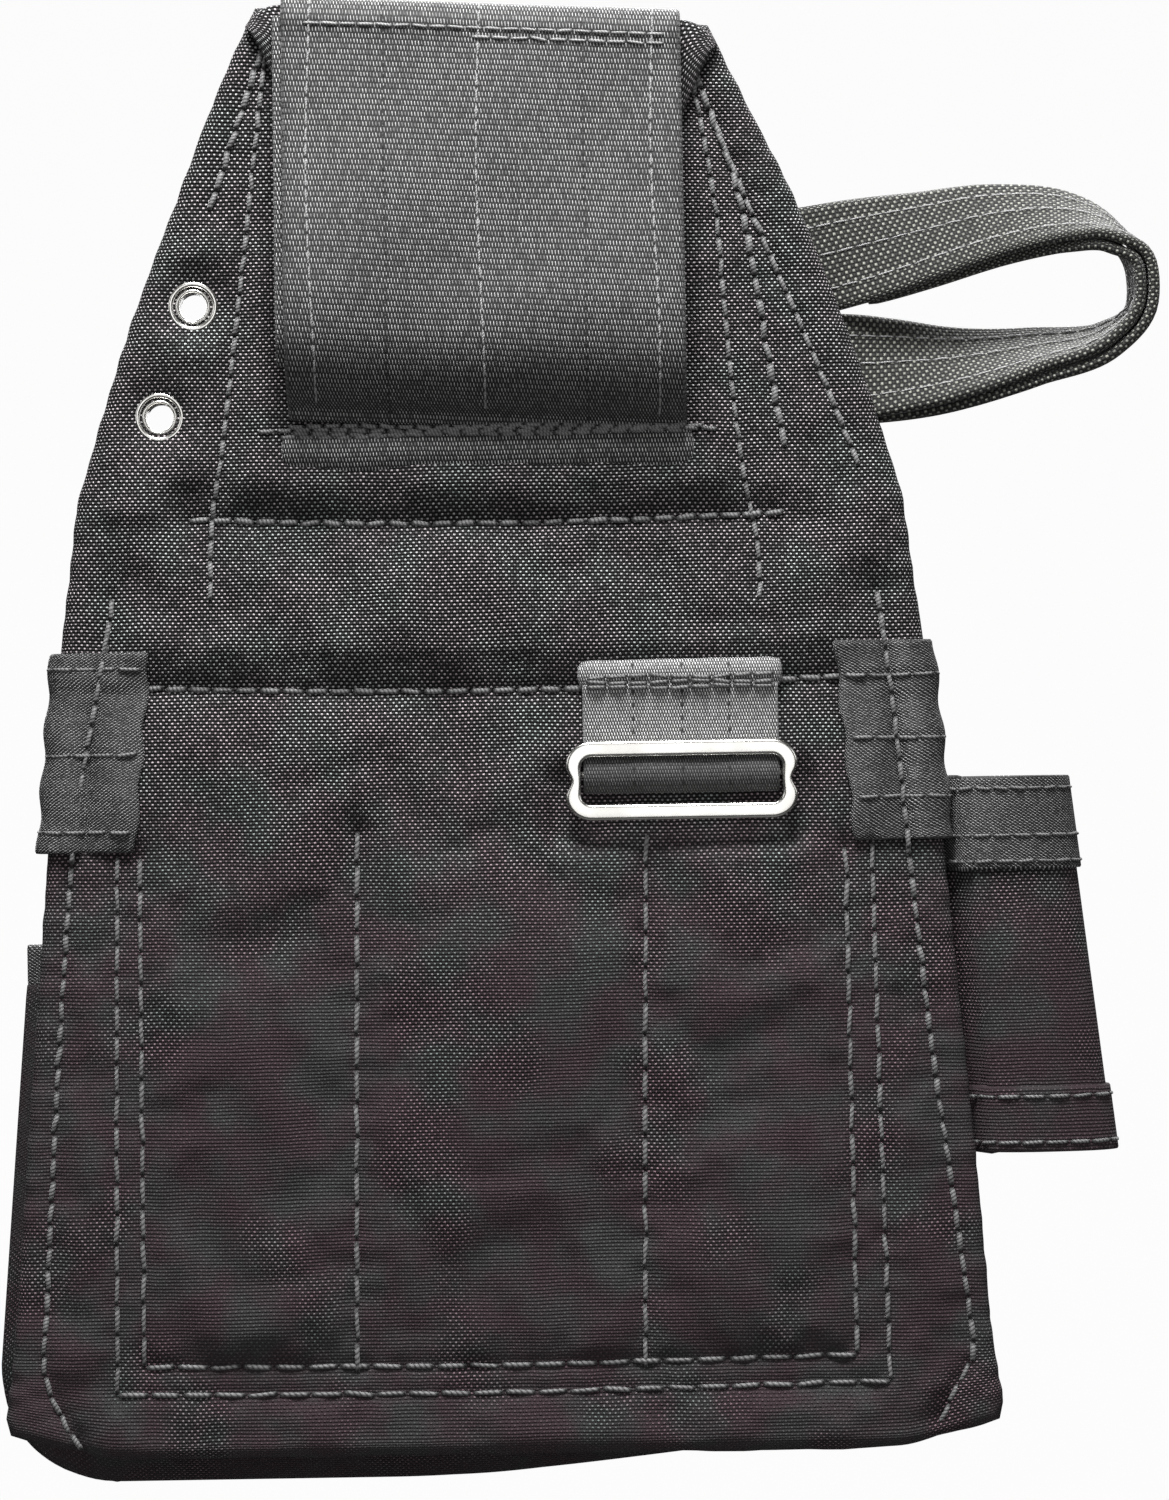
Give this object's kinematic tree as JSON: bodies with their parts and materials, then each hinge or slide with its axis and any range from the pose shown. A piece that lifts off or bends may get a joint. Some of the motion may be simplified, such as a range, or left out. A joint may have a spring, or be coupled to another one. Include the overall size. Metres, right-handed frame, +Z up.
{
  "type": "electrician tool pouch",
  "caption": "Canvas tool pouch that hangs on a wide belt: layered pockets in front, padded back, belt tunnel, hammer loop, side sleeve and buckle tab.",
  "frame": {"origin": "middle of the belt's seat, the flat ledge at the top of the belt tunnel", "axes": "+Z up as it hangs, -Y towards the wearer's hip, +Y the pocket side, +X the side of the hammer loop and the sleeve"},
  "size_m": [0.3018, 0.0823, 0.3745],
  "materials": {
    "canvas": "matt",
    "lining_cloth": "matt",
    "foam": "matt",
    "belt_webbing": "satin",
    "binding_webbing": "matt",
    "loop_webbing": "matt",
    "nickel": "satin"
  },
  "bodies": {
    "pouch": {"back_panel": "canvas", "foam_pad": "foam", "lining_upper": "lining_cloth", "lining_lower": "lining_cloth", "anchor_patch": "canvas", "belt_loop_webbing": "belt_webbing", "belt_loop_lining": "belt_webbing", "belt_loop_hem": "binding_webbing", "eyelet_upper": "nickel", "eyelet_lower": "nickel", "eyelet_washer_upper": "nickel", "eyelet_washer_lower": "nickel", "edge_wrap_left": "binding_webbing", "edge_wrap_right": "binding_webbing", "tab_anchor": "binding_webbing", "inner_tool_pocket": "lining_cloth", "inner_pocket_binding": "binding_webbing", "main_pocket_gusset_left": "canvas", "main_pocket_gusset_right": "canvas"},
    "tab": {"buckle_tab": "binding_webbing"},
    "buckle": {"buckle_frame": "nickel"},
    "hammer_loop": {"loop_outer_strap": "loop_webbing", "loop_inner_strap": "loop_webbing"},
    "sleeve": {"side_sleeve": "canvas", "sleeve_top_binding": "binding_webbing", "sleeve_bottom_hem": "canvas"},
    "main_pocket": {"main_pocket_front": "canvas", "main_pocket_bottom": "canvas", "main_pocket_binding": "binding_webbing", "outer_pocket_gusset_left": "canvas", "outer_pocket_gusset_right": "canvas"},
    "outer_pocket": {"outer_pocket_front": "canvas", "outer_pocket_bottom": "canvas", "outer_pocket_binding": "binding_webbing"}
  },
  "joints": [
    {"name": "tab_swing", "type": "hinge", "parent": "pouch", "child": "tab", "pos_m": [0.0469, -0.0001, -0.1676], "axis": [-1, 0, 0], "range_deg": [0, 110]},
    {"name": "buckle_rock", "type": "hinge", "parent": "tab", "child": "buckle", "pos_m": [0.0469, -0.0022, -0.1887], "axis": [1, 0, 0], "range_deg": [0, 20]},
    {"name": "hammer_loop_swing", "type": "hinge", "parent": "pouch", "child": "hammer_loop", "pos_m": [0.069, 0.01265, -0.0725], "axis": [-0.1961, 0, 0.9806], "range_deg": [0, 50], "stiffness_Nm_per_rad": 0.02},
    {"name": "sleeve_swing", "type": "hinge", "parent": "pouch", "child": "sleeve", "pos_m": [0.11831, 0.0126, -0.2365], "axis": [-0.0845, 0, 0.9964], "range_deg": [-20, 35], "stiffness_Nm_per_rad": 0.02},
    {"name": "main_pocket_open", "type": "hinge", "parent": "pouch", "child": "main_pocket", "pos_m": [0, 0.0103, -0.353], "axis": [-1, 0, 0], "range_deg": [-3, 14], "stiffness_Nm_per_rad": 3, "deforming": ["main_pocket_gusset_left", "main_pocket_gusset_right"]},
    {"name": "outer_pocket_open", "type": "hinge", "parent": "main_pocket", "child": "outer_pocket", "pos_m": [0, 0.0419, -0.35], "axis": [-1, 0, 0], "range_deg": [-1.5, 16], "stiffness_Nm_per_rad": 1.5, "deforming": ["outer_pocket_gusset_left", "outer_pocket_gusset_right"]}
  ]
}
